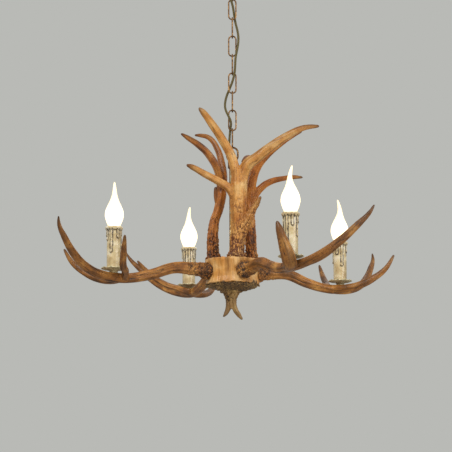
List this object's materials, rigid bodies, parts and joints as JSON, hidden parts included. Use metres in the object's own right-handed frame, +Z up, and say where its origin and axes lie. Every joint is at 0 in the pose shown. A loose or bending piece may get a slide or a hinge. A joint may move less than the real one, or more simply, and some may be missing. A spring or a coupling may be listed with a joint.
{
  "type": "antler chandelier",
  "caption": "Rustic chandelier of branching antlers round a turned drum, with candle lights on the arms, hung on a chain with its cord woven through.",
  "frame": {"origin": "on the ceiling, midway between the two slots of the ceiling crossbar", "axes": "+Z up into the ceiling, +X to the right seen from the front, -Y towards the front"},
  "size_m": [0.6184, 0.5999, 0.7071],
  "materials": {
    "antler_honey": "honey-brown cast resin, semi-matt",
    "antler_pale": "pale golden cast resin, semi-matt",
    "antler_dark": "dark brown cast resin, semi-matt",
    "drum_wood": "vertical grain, oiled",
    "bronze": "antique bronze, rubbed",
    "pewter": "olive pewter, satin",
    "wax_card": "cream beige with brown drips",
    "bulb_glass": "clear flame-tip glass, warm",
    "nickel": "nickel plate",
    "zinc_steel": "zinc plate",
    "holder_plastic": "white thermoplastic",
    "cord_cloth": "olive gold woven cover"
  },
  "bodies": {
    "root": {"ceiling_crossbar": "zinc_steel", "canopy": "bronze", "canopy_loop": "bronze", "canopy_lock_nut": "zinc_steel", "canopy_collar": "bronze", "cord_bushing": "holder_plastic", "terminal_block": "holder_plastic", "supply_cord": "cord_cloth"},
    "link_0": {"chain_link_0": "bronze"},
    "link_1": {"chain_link_1": "bronze"},
    "link_2": {"chain_link_2": "bronze"},
    "link_3": {"chain_link_3": "bronze"},
    "link_4": {"chain_link_4": "bronze"},
    "link_5": {"chain_link_5": "bronze"},
    "link_6": {"chain_link_6": "bronze"},
    "link_7": {"chain_link_7": "bronze"},
    "link_8": {"chain_link_8": "bronze"},
    "fixture": {"stem_loop": "bronze", "stem_tube": "bronze", "hub_nuts": "zinc_steel", "hub_drum": "drum_wood", "base_rim": "antler_dark", "finial_fork": "antler_honey", "finial_stud": "zinc_steel", "arm_studs": "zinc_steel", "upright_studs": "zinc_steel", "candle_nipples": "zinc_steel", "front_upright": "antler_pale", "left_upright": "antler_dark", "right_upright": "antler_honey", "left_arm": "antler_honey", "left_cup": "pewter", "left_dish": "pewter", "left_sleeve": "wax_card", "left_lampholder": "holder_plastic", "near_arm": "antler_honey", "near_cup": "pewter", "near_dish": "pewter", "near_sleeve": "wax_card", "near_lampholder": "holder_plastic", "right_arm": "antler_honey", "right_cup": "pewter", "right_dish": "pewter", "right_sleeve": "wax_card", "right_lampholder": "holder_plastic", "back_arm": "antler_honey", "back_cup": "pewter", "back_dish": "pewter", "back_sleeve": "wax_card", "back_lampholder": "holder_plastic"},
    "left_bulb": {"left_bulb_cap": "nickel", "left_bulb_glass": "bulb_glass"},
    "near_bulb": {"near_bulb_cap": "nickel", "near_bulb_glass": "bulb_glass"},
    "right_bulb": {"right_bulb_cap": "nickel", "right_bulb_glass": "bulb_glass"},
    "back_bulb": {"back_bulb_cap": "nickel", "back_bulb_glass": "bulb_glass"}
  },
  "joints": [
    {"name": "canopy_to_link_0", "type": "hinge", "parent": "root", "child": "link_0", "pos_m": [0, 0, -0.06125], "axis": [1, 0, 0], "range_deg": [-12, 12], "deforming": ["supply_cord"]},
    {"name": "link_0_to_link_1", "type": "hinge", "parent": "link_0", "child": "link_1", "pos_m": [0, 0, -0.097], "axis": [0, 1, 0], "range_deg": [-12, 12], "deforming": ["supply_cord"]},
    {"name": "link_1_to_link_2", "type": "hinge", "parent": "link_1", "child": "link_2", "pos_m": [0, 0, -0.1331], "axis": [1, 0, 0], "range_deg": [-4, 4], "deforming": ["supply_cord"]},
    {"name": "link_2_to_link_3", "type": "hinge", "parent": "link_2", "child": "link_3", "pos_m": [0, 0, -0.1692], "axis": [0, 1, 0], "range_deg": [-4, 4], "deforming": ["supply_cord"]},
    {"name": "link_3_to_link_4", "type": "hinge", "parent": "link_3", "child": "link_4", "pos_m": [0, 0, -0.2053], "axis": [1, 0, 0], "range_deg": [-4, 4], "deforming": ["supply_cord"]},
    {"name": "link_4_to_link_5", "type": "hinge", "parent": "link_4", "child": "link_5", "pos_m": [0, 0, -0.2414], "axis": [0, 1, 0], "range_deg": [-4, 4], "deforming": ["supply_cord"]},
    {"name": "link_5_to_link_6", "type": "hinge", "parent": "link_5", "child": "link_6", "pos_m": [0, 0, -0.2775], "axis": [1, 0, 0], "range_deg": [-4, 4], "deforming": ["supply_cord"]},
    {"name": "link_6_to_link_7", "type": "hinge", "parent": "link_6", "child": "link_7", "pos_m": [0, 0, -0.3136], "axis": [0, 1, 0], "range_deg": [-4, 4], "deforming": ["supply_cord"]},
    {"name": "link_7_to_link_8", "type": "hinge", "parent": "link_7", "child": "link_8", "pos_m": [0, 0, -0.3497], "axis": [1, 0, 0], "range_deg": [-10, 10], "deforming": ["supply_cord"]},
    {"name": "link_8_to_fixture", "type": "hinge", "parent": "link_8", "child": "fixture", "pos_m": [0, 0, -0.3858], "axis": [0, 1, 0], "range_deg": [-10, 10], "deforming": ["supply_cord"]},
    {"name": "left_bulb_turn", "type": "hinge", "parent": "fixture", "child": "left_bulb", "pos_m": [-0.21325, -0.08616, -0.5475], "axis": [0, 0, 1], "range_deg": [0, 90]},
    {"name": "near_bulb_turn", "type": "hinge", "parent": "fixture", "child": "near_bulb", "pos_m": [0.09902, -0.20759, -0.5433], "axis": [0, 0, 1], "range_deg": [0, 90]},
    {"name": "right_bulb_turn", "type": "hinge", "parent": "fixture", "child": "right_bulb", "pos_m": [0.20672, 0.10083, -0.5459], "axis": [0, 0, 1], "range_deg": [0, 90]},
    {"name": "back_bulb_turn", "type": "hinge", "parent": "fixture", "child": "back_bulb", "pos_m": [-0.08616, 0.21325, -0.5395], "axis": [0, 0, 1], "range_deg": [0, 90]}
  ]
}
